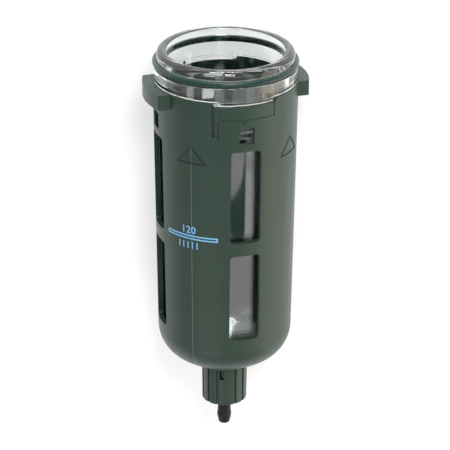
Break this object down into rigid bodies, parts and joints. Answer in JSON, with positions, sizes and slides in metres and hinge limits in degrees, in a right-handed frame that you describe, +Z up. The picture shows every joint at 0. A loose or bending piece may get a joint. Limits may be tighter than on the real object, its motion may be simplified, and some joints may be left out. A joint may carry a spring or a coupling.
{
  "type": "lubricator bowl",
  "caption": "Clear bowl in a slotted plastic guard with bayonet lugs, sealed by a ring at its lip and drained through a twist knob with a hose nozzle.",
  "frame": {"origin": "on the bowl's axis, at the top of its lip", "axes": "+Z up along the axis out of the mouth; the bayonet lugs stand on +X and -X; the rim's notches face +Y and -Y"},
  "size_m": [0.0686, 0.0604, 0.1733],
  "materials": {
    "clear_polycarbonate": "clear gloss moulding",
    "green_nylon": "fine satin moulded texture",
    "nitrile_rubber": "smooth, lightly greased",
    "black_acetal": "satin"
  },
  "bodies": {
    "bowl_assembly": {"bowl": "clear_polycarbonate", "bowl_seal": "nitrile_rubber", "bowl_guard": "green_nylon", "drain_body": "black_acetal", "drain_gasket": "nitrile_rubber", "drain_nut": "black_acetal"},
    "drain_stem": {"drain_nozzle": "black_acetal", "valve_seal": "nitrile_rubber", "stem_seal": "nitrile_rubber"},
    "drain_knob": {"drain_knob": "green_nylon"}
  },
  "joints": [
    {"name": "stem_drop", "type": "slide", "parent": "bowl_assembly", "child": "drain_stem", "axis": [0, 0, -1], "range_m": [0, 0.002]},
    {"name": "knob_turn", "type": "hinge", "parent": "drain_stem", "child": "drain_knob", "pos_m": [0, 0, -0.1605], "axis": [0, 0, -1], "range_deg": [0, 360]}
  ],
  "couplings": [
    {"joint": "stem_drop", "follows": "knob_turn", "m_per_rad": 0.000318}
  ]
}
